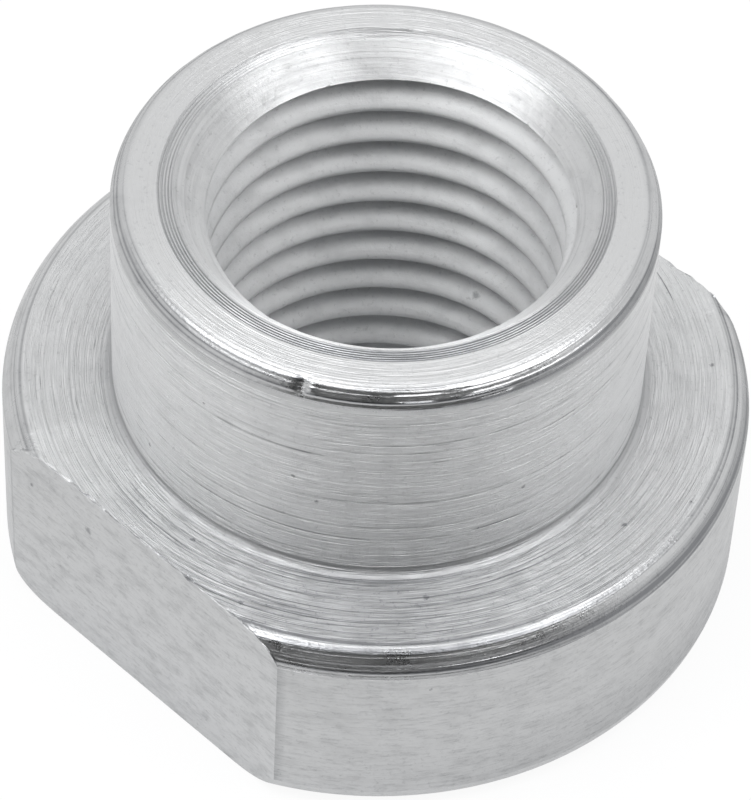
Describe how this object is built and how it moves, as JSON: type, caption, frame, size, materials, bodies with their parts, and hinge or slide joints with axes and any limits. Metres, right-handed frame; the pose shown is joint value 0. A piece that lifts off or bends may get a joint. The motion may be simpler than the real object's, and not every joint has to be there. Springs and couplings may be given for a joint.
{
  "type": "threaded nut",
  "caption": "Round flanged steel nut with a plain round boss, a fine left-hand internal thread and two parallel spanner flats milled on the flange.",
  "frame": {"origin": "on the thread's axis, in the plane of the flange's flat bearing face", "axes": "+Z along the thread's axis from the flange to the boss, X along the two spanner flats, which face -Y and +Y"},
  "size_m": [0.0344, 0.0296, 0.0224],
  "materials": {
    "plated_steel": "satin zinc plate over turned steel"
  },
  "bodies": {
    "root": {"nut": "plated_steel"}
  },
  "joints": []
}
